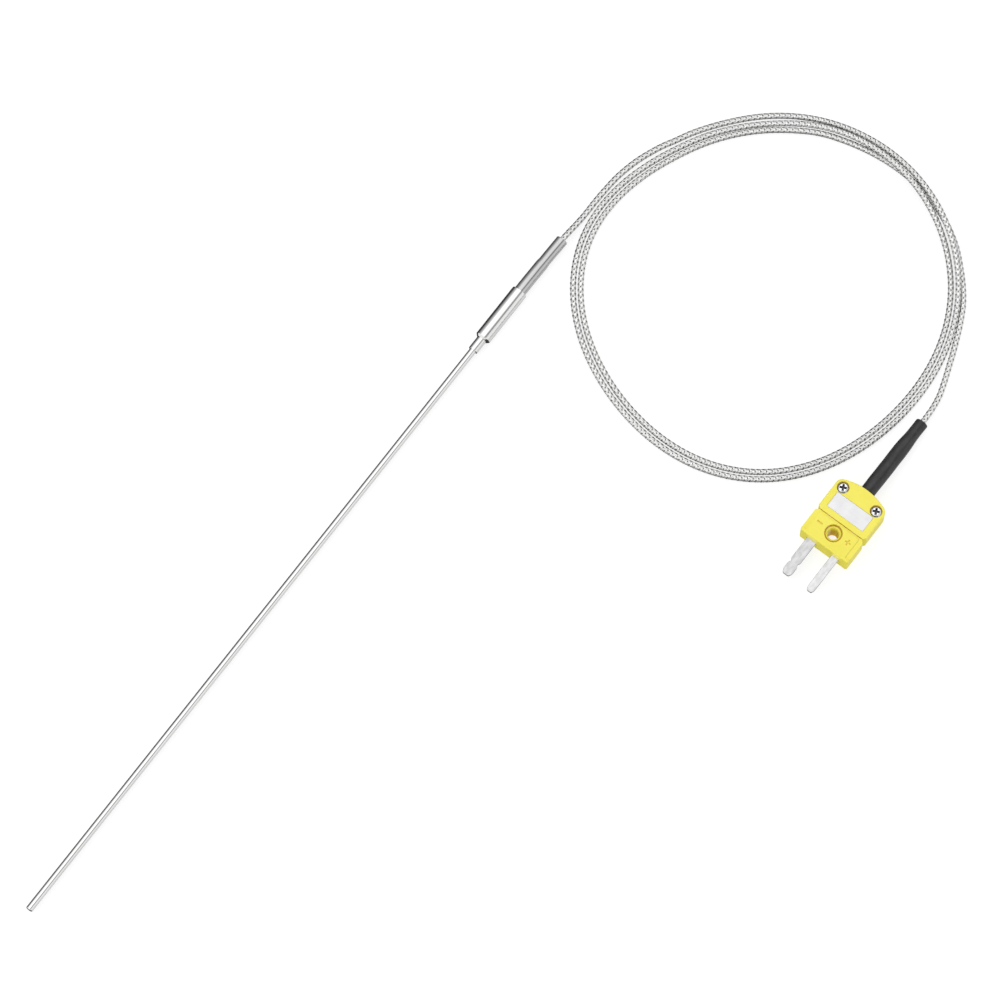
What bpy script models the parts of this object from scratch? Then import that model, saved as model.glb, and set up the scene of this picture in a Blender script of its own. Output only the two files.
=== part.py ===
"""Mineral-insulated type K thermocouple: probe, braided lead and miniature flat-pin plug.

Frame: metres, +Z up. The probe lies along X with its tip at -X, its pot resting on z = 0,
and the origin under the middle of the probe. The lead lies in a flat coil beside it and
ends in the plug, whose pins point to -X. Every length below is in millimetres.
"""
import math

import bmesh
import bpy
from mathutils import Matrix, Vector

MM = 0.001
COLLECTION = "thermocouple"
SNUG = 0.03          # radial gap of a piece that is cast or swaged into another
FACE_GAP = 0.3       # gap between the ends of two pieces that meet face to face
SIDES = 24           # facets round a turned piece
PAST = 2.0           # how far a cutter runs past the face it opens
EDGE_CUT = 0.2       # chamfer on the probe's metal edges

# Probe, measured along X from the tip
SHEATH_RADIUS = 1.0
SHEATH_WALL = 0.25
SHEATH_SHOWN = 196.0
TIP_THICKNESS = 0.6
TIP_ROUND = 0.25
COLLAR_RADIUS = 1.4
COLLAR_SHOWN = 4.0
POT_RADIUS = 2.25
POT_LENGTH = 17.2
POT_BORE = 1.85
POT_CHAMFER = 0.6
POT_FRONT_WALL = 2.4
GREY_RADIUS = 1.75
GREY_SHOWN = 18.9
GREY_HIDDEN = 3.0
SPLICE_RADIUS = 0.31
SPLICE_LENGTH = 3.2
WIRE_OFFSET = 0.38   # each wire's distance from the probe's axis
WIRE_RADIUS = 0.15

# Lead
LEAD_RADIUS = 0.9
CORE_RADIUS = 0.25
SLEEVE_BORE = LEAD_RADIUS + 0.05
COIL_CENTRE = (139.6, -53.8)
COIL_LONG_RADIUS = 55.0
COIL_SHORT_RADIUS = 51.6
COIL_INNER_RATIO = 0.886
COIL_HEIGHT = 3.7
COIL_TURN = -30.0    # direction of the coil's long radius, in degrees

# Plug, measured back from the middle of its front face at floor level
PLUG_FRONT = (90.4, -110.0)
PLUG_WIDTH = 16.0
PLUG_HEIGHT = 8.0
PLUG_LENGTH = 19.8
PLUG_BACK_RADIUS = 18.0
PLUG_CORNER = 2.0
PLUG_EDGE = 0.45     # rounding of the shell's top and bottom edges
NOSE_LENGTH = 7.75
SEAM = 0.2           # width of the seam between nose and cover
NOTCH = 0.85         # reach of the wedge cut from each side at the seam
SPLIT_HEIGHT = 4.0
WALL = 1.3
ROOF = 1.15          # thickness of the cover's roof over the wiring
CORE_ROOM = 1.6      # half the width of the channel for the lead's cores
NOSE_HOLE_BACK = 4.45
NOSE_HOLE_RADIUS = 1.5
NOSE_HOLE_WIDE = 2.5
NOSE_HOLE_STEP = 2.2 # depth of the hole's wide part
MARK_BACK = 4.7      # the polarity marks' distance behind the front and to each side
MARK_ARM = 0.75
MARK_STROKE = 0.22
MARK_DEPTH = 0.15
LABEL_FRONT = 9.6
LABEL_BACK = 14.5
LABEL_HALF = 6.0
LABEL_DEPTH = 0.4
PIN_HEIGHT = 4.0
PIN_PITCH = 7.92
PIN_THICKNESS = 0.8
PIN_SHOWN = 11.8
WIDE_PIN = 3.0
NARROW_PIN = 2.3
PIN_TAIL = 13.4      # where the terminal pad inside the plug ends
PAD_WIDTH = 3.8
TERMINAL_BACK = 11.6
COVER_SCREW_BACK = 16.4
COVER_SCREW_SPREAD = 11.1
COVER_SCREW_SEAT = 6.63
COVER_SCREW_BORE = 1.02
COVER_SCREW_WELL = 1.7
BLACK_SHOWN = 25.9
BLACK_HIDDEN = 2.9
BLACK_THICK = 2.15
BLACK_THIN = 1.8
BLACK_PIVOT = 18.35  # where the sleeve's axis is level with the pins
BLACK_DROOP = math.radians(4.4)

TIP_X = -(SHEATH_SHOWN + COLLAR_SHOWN + POT_LENGTH + GREY_SHOWN) / 2
POT_X = TIP_X + SHEATH_SHOWN + COLLAR_SHOWN
GREY_END_X = POT_X + POT_LENGTH + GREY_SHOWN
SPLICE_X = POT_X + 5.6

# The lead's two free stretches, as points on its centreline
RUN_FROM_PROBE = [
    (GREY_END_X + FACE_GAP, -0.3, POT_RADIUS),
    (120.8, -0.4, 2.1),
    (123.6, -0.55, 1.6),
    (126.6, -0.65, 1.1),
    (129.2, -0.68, 0.93),
]
RUN_TO_PLUG = [
    (150.9, -107.3, 0.93),
    (148.6, -108.1, 0.95),
    (145.4, -109.1, 1.2),
    (141.8, -109.75, 1.6),
    (138.9, -109.95, 1.83),
    (136.35, -110.0, 1.93),
]


def clear_scene():
    for old in list(bpy.data.objects):
        bpy.data.objects.remove(old, do_unlink=True)


def make_collection(name):
    found = bpy.data.collections.get(name) or bpy.data.collections.new(name)
    if name not in bpy.context.scene.collection.children:
        bpy.context.scene.collection.children.link(found)
    return found


def make_material(name, colour, roughness, metallic=0.0):
    material = bpy.data.materials.new(name)
    material.use_nodes = True
    shader = material.node_tree.nodes["Principled BSDF"]
    shader.inputs["Base Color"].default_value = (*colour, 1.0)
    shader.inputs["Roughness"].default_value = roughness
    shader.inputs["Metallic"].default_value = metallic
    return material


def add_object(name, data, material=None):
    made = bpy.data.objects.new(name, data)
    home = CUTTERS if material is None else PARTS
    home.objects.link(made)
    if material is None:
        made.hide_render = True
        made.display_type = "WIRE"
    else:
        data.materials.append(material)
    return made


def mesh_object(name, build, material=None):
    """An object whose mesh is filled in by build(bm)."""
    mesh = bpy.data.meshes.new(name)
    bm = bmesh.new()
    build(bm)
    bmesh.ops.recalc_face_normals(bm, faces=bm.faces)
    bm.to_mesh(mesh)
    bm.free()
    return add_object(name, mesh, material)


def turned(name, profile, material=None, sides=SIDES):
    """A shape turned about its own Z. The profile is (height, radius) in mm, listed from
    the top, down the outer side, and round to the start again where the piece is bored."""
    mesh = bpy.data.meshes.new(name)
    points = [(radius * MM, 0.0, height * MM) for height, radius in profile]
    closed = min(radius for _, radius in profile) > 0
    edges = [(i, i + 1) for i in range(len(points) - 1)]
    if closed:
        edges.append((len(points) - 1, 0))
    mesh.from_pydata(points, edges, [])
    made = add_object(name, mesh, material)
    screw = made.modifiers.new("turn", "SCREW")
    screw.steps = sides
    screw.render_steps = sides
    screw.use_merge_vertices = True
    screw.merge_threshold = 0.00001
    screw.use_smooth_shade = True
    return made


def lay_along_x(made, x, y=0.0, z=POT_RADIUS):
    """Turns a piece made about Z so that its top points to +X."""
    made.rotation_euler = (0.0, math.pi / 2, 0.0)
    made.location = Vector((x, y, z)) * MM
    return made


def stand(made, x, y, z):
    made.location = Vector((x, y, z)) * MM
    return made


def cylinder(name, radius, length, material=None, sides=SIDES):
    """A rod about Z from height 0 to its length."""
    profile = [(length, 0.0), (length, radius), (0.0, radius), (0.0, 0.0)]
    return turned(name, profile, material, sides)


def tube(name, outer, inner, length, material, sides=SIDES):
    profile = [(length, inner), (length, outer), (0.0, outer), (0.0, inner)]
    return turned(name, profile, material, sides)


def box(name, low, high, material=None):
    size = Vector(high) - Vector(low)
    middle = (Vector(high) + Vector(low)) / 2
    place = Matrix.Translation(middle * MM) @ Matrix.Diagonal((*(size * MM), 1.0))

    def build(bm):
        bmesh.ops.create_cube(bm, size=1.0, matrix=place)

    return mesh_object(name, build, material)


def as_mesh(curve_object, material=None):
    """The curve's evaluated shape as one welded mesh object of the same name."""
    name = curve_object.name
    bpy.context.view_layer.update()
    graph = bpy.context.evaluated_depsgraph_get()
    mesh = bpy.data.meshes.new_from_object(curve_object.evaluated_get(graph))
    place = curve_object.matrix_world.copy()
    bpy.data.objects.remove(curve_object, do_unlink=True)
    bm = bmesh.new()
    bm.from_mesh(mesh)
    bmesh.ops.remove_doubles(bm, verts=bm.verts, dist=1e-7)
    bm.to_mesh(mesh)
    bm.free()
    mesh.materials.clear()
    made = add_object(name, mesh, material)
    made.name = name
    made.matrix_world = place
    return made


def flat_solid(name, outlines, low, high, material=None):
    """A plate of the given outlines, the first outside and the rest holes in it."""
    curve = bpy.data.curves.new(name, "CURVE")
    curve.dimensions = "2D"
    curve.fill_mode = "BOTH"
    curve.extrude = (high - low) / 2 * MM
    for outline in outlines:
        spline = curve.splines.new("POLY")
        spline.points.add(len(outline) - 1)
        for point, (x, y) in zip(spline.points, outline):
            point.co = (x * MM, y * MM, 0.0, 1.0)
        spline.use_cyclic_u = True
    made = add_object(name, curve)
    made.location.z = (high + low) / 2 * MM
    return as_mesh(made, material)


def wire(name, points, radius, material, bevel_resolution=1):
    """A round wire through the points, with flat ends."""
    curve = bpy.data.curves.new(name, "CURVE")
    curve.dimensions = "3D"
    curve.bevel_depth = radius * MM
    curve.bevel_resolution = bevel_resolution
    curve.use_fill_caps = True
    spline = curve.splines.new("POLY")
    spline.points.add(len(points) - 1)
    for point, place in zip(spline.points, points):
        point.co = (*(Vector(place) * MM), 1.0)
    return add_object(name, curve, material)


def arc(centre, radius, start, end, count):
    """Points of an arc, with both ends; angles in degrees."""
    points = []
    for i in range(count + 1):
        angle = math.radians(start + (end - start) * i / count)
        points.append((centre[0] + radius * math.cos(angle), centre[1] + radius * math.sin(angle)))
    return points


def smooth_route(points, spacing):
    """Points at an even spacing along a Catmull-Rom curve through the route's points."""
    route = [Vector(point) for point in points]
    route = [2 * route[0] - route[1], *route, 2 * route[-1] - route[-2]]
    fine = []
    for a, b, c, d in zip(route, route[1:], route[2:], route[3:]):
        for i in range(12):
            t = i / 12
            fine.append(0.5 * (2 * b + (c - a) * t + (2 * a - 5 * b + 4 * c - d) * t * t
                               + (3 * b - 3 * c + d - a) * t ** 3))
    fine.append(route[-2])
    length = sum((q - p).length for p, q in zip(fine, fine[1:]))
    count = max(2, round(length / spacing))
    even, travelled, step = [fine[0]], 0.0, length / count
    for p, q in zip(fine, fine[1:]):
        gap = (q - p).length
        while len(even) < count and travelled + gap >= len(even) * step:
            even.append(p.lerp(q, (len(even) * step - travelled) / gap))
        travelled += gap
    even.append(fine[-1])
    return even


def boolean(target, tool, operation="DIFFERENCE"):
    modifier = target.modifiers.new(tool.name, "BOOLEAN")
    modifier.operation = operation
    modifier.solver = "EXACT"
    modifier.object = tool


def round_edges(made, width, segments=2, angle=50):
    bevel = made.modifiers.new("round", "BEVEL")
    bevel.width = width * MM
    bevel.segments = segments
    bevel.limit_method = "ANGLE"
    bevel.angle_limit = math.radians(angle)


# ---------------------------------------------------------------- probe

def make_sheath(steel):
    """The closed-ended metal tube, from its tip to inside the pot."""
    bore = SHEATH_RADIUS - SHEATH_WALL
    length = SHEATH_SHOWN + COLLAR_SHOWN + POT_FRONT_WALL + 1.2
    profile = [(TIP_THICKNESS, 0.0), (TIP_THICKNESS, bore), (length, bore)]
    profile += [(length, SHEATH_RADIUS), (TIP_ROUND, SHEATH_RADIUS)]
    profile += [(0.08, SHEATH_RADIUS - 0.1), (0.0, SHEATH_RADIUS - TIP_ROUND), (0.0, 0.0)]
    lay_along_x(turned("sheath", profile, steel), TIP_X)
    return TIP_X + length


def make_sensing_wires(sheath_end, oxide, positive, negative, weld):
    """The packed oxide with its two wires, which meet in a bead behind the tip."""
    bead_x = TIP_X + TIP_THICKNESS + 0.6
    core_x = bead_x + 0.9
    core_radius = SHEATH_RADIUS - SHEATH_WALL - SNUG
    core = cylinder("insulation_core", core_radius, sheath_end - core_x, oxide, 16)
    lay_along_x(core, core_x)
    for side, name, alloy in ((1, "thermoelement_positive", positive),
                              (-1, "thermoelement_negative", negative)):
        hole = cylinder(name + "_hole", WIRE_RADIUS + SNUG, sheath_end - core_x + 2 * PAST, sides=10)
        lay_along_x(hole, core_x - PAST, side * WIRE_OFFSET)
        boolean(core, hole)
        line = [(core_x - 0.1, side * WIRE_OFFSET, POT_RADIUS),
                (SPLICE_X + 0.3, side * WIRE_OFFSET, POT_RADIUS)]
        wire(name, line, WIRE_RADIUS, alloy)

    def bead(bm):
        bmesh.ops.create_uvsphere(bm, u_segments=16, v_segments=8, radius=0.45 * MM)

    junction = mesh_object("hot_junction", bead, weld)
    stand(junction, bead_x + 0.05, 0.0, POT_RADIUS)
    junction.scale = (0.8, 1.4, 1.0)


def make_pot(steel, epoxy):
    """The stepped neck, the pot behind it and the resin that fills the pot."""
    neck_length = COLLAR_SHOWN + POT_FRONT_WALL - 0.4
    profile = [(neck_length, SHEATH_RADIUS + SNUG), (neck_length, COLLAR_RADIUS)]
    profile += [(EDGE_CUT, COLLAR_RADIUS), (0.0, COLLAR_RADIUS - EDGE_CUT)]
    profile += [(0.0, SHEATH_RADIUS + SNUG)]
    lay_along_x(turned("neck_collar", profile, steel), POT_X - COLLAR_SHOWN)

    neck_bore = COLLAR_RADIUS + SNUG
    profile = [(POT_LENGTH, POT_BORE), (POT_LENGTH, POT_RADIUS - EDGE_CUT)]
    profile += [(POT_LENGTH - EDGE_CUT, POT_RADIUS), (POT_CHAMFER, POT_RADIUS)]
    profile += [(0.0, POT_RADIUS - POT_CHAMFER), (0.0, neck_bore)]
    profile += [(POT_FRONT_WALL, neck_bore), (POT_FRONT_WALL, POT_BORE)]
    lay_along_x(turned("transition_pot", profile, steel, 32), POT_X)

    resin_x = POT_X + POT_FRONT_WALL + SNUG
    resin_end = POT_X + POT_LENGTH - GREY_HIDDEN - 0.1
    resin = cylinder("potting_compound", POT_BORE - SNUG, resin_end - resin_x, epoxy)
    lay_along_x(resin, resin_x)
    pocket = cylinder("sheath_pocket", SHEATH_RADIUS + SNUG, PAST + 1.3)
    lay_along_x(pocket, resin_x - PAST)
    boolean(resin, pocket)
    for side in (1, -1):
        channel = cylinder("splice_channel", SPLICE_RADIUS + SNUG, resin_end - resin_x + 2 * PAST,
                           sides=12)
        lay_along_x(channel, resin_x - PAST, side * WIRE_OFFSET)
        boolean(resin, channel)


def make_splices(positive, negative, crimp, braid):
    """Each sensing wire's join to its lead core, and the lead's end inside the sleeve."""
    tail_x = POT_X + POT_LENGTH - GREY_HIDDEN + 0.1
    for side, name, alloy in ((1, "positive", positive), (-1, "negative", negative)):
        splice = tube("splice_" + name, SPLICE_RADIUS, CORE_RADIUS + 0.02, SPLICE_LENGTH, crimp, 12)
        lay_along_x(splice, SPLICE_X, side * WIRE_OFFSET)
        line = [(SPLICE_X + 0.5, side * WIRE_OFFSET, POT_RADIUS),
                (tail_x - 0.05, side * WIRE_OFFSET, POT_RADIUS)]
        wire("lead_core_probe_" + name, line, CORE_RADIUS - 0.01, alloy)
    tail = cylinder("lead_tail_probe", LEAD_RADIUS, GREY_END_X - FACE_GAP - tail_x, braid)
    lay_along_x(tail, tail_x)


def make_grey_sleeve(rubber):
    """The strain relief that is shrunk onto the lead and reaches into the pot."""
    length = GREY_SHOWN + GREY_HIDDEN
    step = length - 9.0
    profile = [(length, SLEEVE_BORE), (length, GREY_RADIUS - 0.15)]
    profile += [(length - 0.15, GREY_RADIUS - 0.05), (step + 0.8, GREY_RADIUS - 0.05)]
    profile += [(step, GREY_RADIUS), (0.0, GREY_RADIUS), (0.0, SLEEVE_BORE)]
    sleeve = turned("strain_sleeve_grey", profile, rubber)
    lay_along_x(sleeve, POT_X + POT_LENGTH - GREY_HIDDEN)


# ---------------------------------------------------------------- lead

def make_lead(braid):
    """The free stretches as tubes, and the coil as one solid ring, slightly out of round."""
    spacing = 2.4 * 2 * LEAD_RADIUS
    for name, route in (("lead_run_probe", RUN_FROM_PROBE), ("lead_run_plug", RUN_TO_PLUG)):
        wire(name, smooth_route(route, spacing), LEAD_RADIUS, braid, 2)
    outer = COIL_LONG_RADIUS
    inner = outer * COIL_INNER_RATIO
    corner = 0.8
    profile = [(COIL_HEIGHT, inner + corner), (COIL_HEIGHT, outer - corner)]
    profile += [(COIL_HEIGHT - corner, outer), (corner, outer), (0.0, outer - corner)]
    profile += [(0.0, inner + corner), (corner, inner), (COIL_HEIGHT - corner, inner)]
    coil = turned("lead_coil", profile, braid, 64)
    stand(coil, *COIL_CENTRE, 0.0)
    coil.rotation_euler.z = math.radians(COIL_TURN)
    coil.scale.y = COIL_SHORT_RADIUS / COIL_LONG_RADIUS


# ---------------------------------------------------------------- plug

def plug_outline():
    """The shell's plan, with its front at x = 0 and an arched back between round corners."""
    half = PLUG_WIDTH / 2
    arch_x = PLUG_LENGTH - PLUG_BACK_RADIUS
    reach = PLUG_BACK_RADIUS - PLUG_CORNER
    corner_y = half - PLUG_CORNER
    corner_x = arch_x + math.sqrt(reach ** 2 - corner_y ** 2)
    lean = math.degrees(math.atan2(corner_y, corner_x - arch_x))
    front = 0.5
    outline = arc((front, -half + front), front, 180, 270, 2)
    outline += arc((corner_x, -corner_y), PLUG_CORNER, -90, -lean, 5)
    outline += arc((arch_x, 0.0), PLUG_BACK_RADIUS, -lean, lean, 12)[1:-1]
    outline += arc((corner_x, corner_y), PLUG_CORNER, lean, 90, 5)
    outline += arc((front, half - front), front, 90, 180, 2)
    return outline


def at_plug(made):
    """Moves a piece from the plug's own frame to where the plug lies."""
    made.location += Vector((*PLUG_FRONT, 0.0)) * MM
    return made


def make_shells(plastic):
    """The two mouldings: a base that carries the whole nose, and a cover behind the nose."""
    half = PLUG_WIDTH / 2
    far = PLUG_LENGTH + PAST
    seam_back = NOSE_LENGTH + SEAM
    shells = []
    for name in ("plug_base", "plug_cover"):
        shell = at_plug(flat_solid(name, [plug_outline()], 0.0, PLUG_HEIGHT, plastic))
        round_edges(shell, PLUG_EDGE)
        shells.append(shell)
    base, cover = shells

    above_base = box("above_base", (NOSE_LENGTH, -half - PAST, SPLIT_HEIGHT - 0.05),
                     (far, half + PAST, PLUG_HEIGHT + PAST))
    below_cover = box("below_cover", (-PAST, -half - PAST, -PAST),
                      (far, half + PAST, SPLIT_HEIGHT + 0.05))
    before_cover = box("before_cover", (-PAST, -half - PAST, SPLIT_HEIGHT - 1.0),
                       (seam_back, half + PAST, PLUG_HEIGHT + PAST))
    boolean(base, at_plug(above_base))
    boolean(cover, at_plug(below_cover))
    boolean(cover, at_plug(before_cover))

    for side in (1, -1):
        corners = arc((NOSE_LENGTH + SEAM / 2, side * half), NOTCH, 0, 270, 3)
        wedge = at_plug(flat_solid("side_notch", [corners], -PAST, PLUG_HEIGHT + PAST))
        boolean(base, wedge)
        boolean(cover, wedge)
    cut_inside(base, cover)
    cut_blade_slots(base, cover)
    cut_nose(base)


def cut_inside(base, cover):
    """The wiring space: blade seats and a core channel in the base, a hollow in the cover."""
    half_room = PLUG_WIDTH / 2 - WALL
    room = (NOSE_LENGTH + SEAM + 1.2, 14.1)
    neck = (room[1] - 0.5, 17.0)
    seat = PIN_HEIGHT - PIN_THICKNESS / 2 - SNUG
    roof = PLUG_HEIGHT - ROOF
    cuts = [
        (base, "blade_seat", (room[0], -half_room, seat), (room[1], half_room, PLUG_HEIGHT)),
        (base, "core_channel", (room[0] + 0.6, -CORE_ROOM, 2.0),
         (neck[1], CORE_ROOM, PLUG_HEIGHT)),
        (cover, "terminal_room", (room[0], -half_room, 1.0), (room[1], half_room, roof)),
        (cover, "core_room", (neck[0], -2 * CORE_ROOM, 1.0), (neck[1], 2 * CORE_ROOM, roof)),
    ]
    for shell, name, low, high in cuts:
        boolean(shell, at_plug(box(name, low, high)))

    mouth = cylinder("cable_mouth", BLACK_THICK + 0.2, 8.0)
    at_plug(lay_along_x(mouth, neck[1] - 1.0, 0.0, PIN_HEIGHT))
    boolean(base, mouth)
    boolean(cover, mouth)

    for side in (1, -1):
        y = side * COVER_SCREW_SPREAD / 2
        screw_hole = stepped_cutter("cover_screw_hole", COVER_SCREW_BORE, 0.9, COVER_SCREW_WELL,
                                    COVER_SCREW_SEAT - SNUG)
        at_plug(stand(screw_hole, COVER_SCREW_BACK, y, 0.0))
        boolean(base, screw_hole)
        boolean(cover, screw_hole)
        well = at_plug(stand(cylinder("terminal_screw_well", 0.95, 3.0), TERMINAL_BACK,
                             side * PIN_PITCH / 2, 1.9))
        boolean(base, well)

    recess_half = LABEL_HALF + 0.1
    recess = box("label_recess", (LABEL_FRONT - 0.1, -recess_half, PLUG_HEIGHT - LABEL_DEPTH),
                 (LABEL_BACK + 0.1, recess_half, PLUG_HEIGHT + PAST))
    boolean(cover, at_plug(recess))


def stepped_cutter(name, radius, low, wide_radius, step):
    """A hole from low upward that widens at the step and runs out past the plug's top."""
    top = PLUG_HEIGHT + PAST
    profile = [(top, 0.0), (top, wide_radius), (step, wide_radius), (step, radius)]
    profile += [(low, radius), (low, 0.0)]
    return turned(name, profile)


def cut_blade_slots(base, cover):
    """Slots for the pins through the nose and under the cover's front wall."""
    room_x = NOSE_LENGTH + SEAM + 1.5
    slot_half = PIN_THICKNESS / 2 + SNUG
    for side, width, name in ((1, WIDE_PIN, "negative"), (-1, NARROW_PIN, "positive")):
        y = side * PIN_PITCH / 2
        half = width / 2 + 0.05
        slot = box("blade_slot_" + name, (-PAST, y - half, PIN_HEIGHT - slot_half),
                   (room_x, y + half, PIN_HEIGHT + slot_half))
        at_plug(slot)
        boolean(base, slot)
        boolean(cover, slot)


def cut_nose(base):
    """The nose's counterbored through hole and the polarity marks on its top."""
    nose_hole = stepped_cutter("nose_hole", NOSE_HOLE_RADIUS, -PAST, NOSE_HOLE_WIDE,
                               PLUG_HEIGHT - NOSE_HOLE_STEP)
    boolean(base, at_plug(stand(nose_hole, NOSE_HOLE_BACK, 0.0, 0.0)))

    low = PLUG_HEIGHT - MARK_DEPTH
    top = PLUG_HEIGHT + PAST
    minus = box("minus_mark", (MARK_BACK - MARK_STROKE, MARK_BACK - MARK_ARM, low),
                (MARK_BACK + MARK_STROKE, MARK_BACK + MARK_ARM, top))
    boolean(base, at_plug(minus))
    plus = cross("plus_mark", MARK_ARM, MARK_STROKE, low, top)
    plus.location += Vector((MARK_BACK, -MARK_BACK, 0.0)) * MM
    boolean(base, at_plug(plus))


def cross(name, arm, stroke, low, high):
    """A plus-shaped cutter about the origin, whose arms narrow slightly to their ends."""
    end = 0.9 * stroke
    quarter = [(arm, -end), (arm, end), (stroke, stroke)]
    outline = []
    for turn in range(4):
        cos, sin = round(math.cos(turn * math.pi / 2)), round(math.sin(turn * math.pi / 2))
        outline += [(x * cos - y * sin, x * sin + y * cos) for x, y in quarter]
    return flat_solid(name, [outline], low, high)


def blade_outline(width, notched):
    """A pin's plan from its rounded tip to the terminal pad, pointing to -x."""
    half = width / 2
    tip = -PIN_SHOWN
    side = [(tip, 0.3 * half), (tip + 0.35, 0.75 * half), (tip + 1.0, half)]
    if notched:
        waist = tip + 4.1
        side += [(waist - 0.75, half), (waist - 0.15, half - 0.4)]
        side += [(waist + 0.15, half - 0.4), (waist + 0.75, half)]
    pad = PAD_WIDTH / 2
    side += [(NOSE_LENGTH + SEAM + 1.4, half), (NOSE_LENGTH + SEAM + 1.6, pad)]
    side += [(PIN_TAIL, pad)]
    return [(x, -y) for x, y in side] + [(x, y) for x, y in reversed(side)]


def make_blades(negative, positive):
    low = PIN_HEIGHT - PIN_THICKNESS / 2
    for side, width, name, alloy in ((1, WIDE_PIN, "blade_negative", negative),
                                     (-1, NARROW_PIN, "blade_positive", positive)):
        hole = arc((TERMINAL_BACK, 0.0), 0.8, 0, 337.5, 15)
        blade = flat_solid(name, [blade_outline(width, side > 0), hole], low,
                           low + PIN_THICKNESS, alloy)
        blade.location.y += side * PIN_PITCH / 2 * MM
        at_plug(blade)
        round_edges(blade, 0.1, 1, 60)


def make_screw(name, x, y, seat, head, shank, steel):
    """A cross-recess screw standing on its seat; head and shank are (radius, length)."""
    radius, height = head
    low = -shank[1]
    profile = [(height, 0.0), (height, 0.55 * radius), (0.8 * height, 0.87 * radius)]
    profile += [(0.45 * height, radius), (0.0, radius), (0.0, shank[0])]
    profile += [(low + 0.4, shank[0]), (low, 0.6 * shank[0]), (low, 0.0)]
    made = at_plug(stand(turned(name, profile, steel, 20), x, y, seat))
    recess = cross(name + "_recess", 0.55 * radius, 0.15 * radius, 0.4 * height, height + 0.5)
    recess.location += Vector((x, y, seat)) * MM
    recess.rotation_euler.z = math.radians(25)
    boolean(made, at_plug(recess))
    return made


def make_plug_hardware(steel, paper, negative, positive):
    """The screws, the plates that clamp the cores, the cores and the label."""
    for side, name in ((1, "cover_screw_left"), (-1, "cover_screw_right")):
        make_screw(name, COVER_SCREW_BACK, side * COVER_SCREW_SPREAD / 2, COVER_SCREW_SEAT,
                   (1.6, 1.15), (0.95, 5.2), steel)
    plate_z = PIN_HEIGHT + PIN_THICKNESS / 2 + 2 * CORE_RADIUS + 0.06
    for side, name, alloy in ((1, "negative", negative), (-1, "positive", positive)):
        y = side * PIN_PITCH / 2
        square = [(TERMINAL_BACK + a * 1.45, b * 1.45) for a, b in ((-1, -1), (1, -1), (1, 1), (-1, 1))]
        hole = arc((TERMINAL_BACK, 0.0), 0.9, 0, 337.5, 15)
        plate = flat_solid("clamp_plate_" + name, [square, hole], plate_z, plate_z + 0.4, steel)
        plate.location.y += y * MM
        at_plug(plate)
        make_screw("terminal_screw_" + name, TERMINAL_BACK, y, plate_z + 0.43, (1.35, 0.95),
                   (0.72, 3.3), steel)
        core_z = PIN_HEIGHT + PIN_THICKNESS / 2 + CORE_RADIUS + 0.03
        route = [(15.0, side * 0.4, PIN_HEIGHT + 0.35), (13.9, side * 1.0, 4.5),
                 (12.8, side * 2.3, core_z), (TERMINAL_BACK, side * 2.85, core_z),
                 (TERMINAL_BACK - 1.2, side * 2.9, core_z)]
        at_plug(wire("lead_core_plug_" + name, smooth_route(route, 0.9), CORE_RADIUS, alloy))
    label = box("label_panel", (LABEL_FRONT, -LABEL_HALF, PLUG_HEIGHT - LABEL_DEPTH + SNUG),
                (LABEL_BACK, LABEL_HALF, PLUG_HEIGHT - SNUG), paper)
    at_plug(label)


def make_black_sleeve(rubber, braid):
    """The shrunk sleeve behind the plug, with the end of the lead inside it."""
    length = BLACK_SHOWN + BLACK_HIDDEN
    profile = [(length, SLEEVE_BORE), (length, BLACK_THIN - 0.35)]
    profile += [(length - 0.35, BLACK_THIN), (length - 5.4, BLACK_THIN)]
    profile += [(length - 7.7, BLACK_THICK - 0.03), (length - 9.0, BLACK_THICK)]
    profile += [(0.0, BLACK_THICK), (0.0, SLEEVE_BORE)]
    sleeve = turned("strain_sleeve_black", profile, rubber)
    tail = cylinder("lead_tail_plug", LEAD_RADIUS, length + 1.6, braid)
    start = PLUG_LENGTH - BLACK_HIDDEN
    for piece, x in ((sleeve, start), (tail, start - 1.9)):
        back = x - BLACK_PIVOT
        droop = math.tan(BLACK_DROOP)
        lay_along_x(piece, x, 0.0, PIN_HEIGHT - back * droop)
        piece.rotation_euler.y += BLACK_DROOP
        at_plug(piece)


clear_scene()
PARTS = make_collection(COLLECTION)
CUTTERS = make_collection(COLLECTION + "_cutters")


def main():
    steel = make_material("stainless_steel", (0.78, 0.78, 0.77), 0.18, 1.0)
    braid = make_material("steel_braid", (0.62, 0.62, 0.61), 0.35, 1.0)
    oxide = make_material("magnesium_oxide", (0.90, 0.89, 0.86), 0.9)
    positive = make_material("nickel_chromium", (0.60, 0.58, 0.55), 0.35, 1.0)
    negative = make_material("nickel_aluminium", (0.66, 0.65, 0.62), 0.32, 1.0)
    crimp = make_material("nickel_crimp", (0.70, 0.69, 0.66), 0.3, 1.0)
    epoxy = make_material("potting_epoxy", (0.08, 0.08, 0.08), 0.6)
    grey = make_material("grey_heatshrink", (0.42, 0.42, 0.42), 0.45)
    black = make_material("black_heatshrink", (0.03, 0.03, 0.03), 0.55)
    yellow = make_material("yellow_plastic", (0.90, 0.78, 0.04), 0.4)
    paper = make_material("white_label", (0.92, 0.92, 0.94), 0.5)

    sheath_end = make_sheath(steel)
    make_sensing_wires(sheath_end, oxide, positive, negative, crimp)
    make_pot(steel, epoxy)
    make_splices(positive, negative, crimp, braid)
    make_grey_sleeve(grey)
    make_lead(braid)
    make_shells(yellow)
    make_blades(negative, positive)
    make_plug_hardware(steel, paper, negative, positive)
    make_black_sleeve(black, braid)


main()
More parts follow.
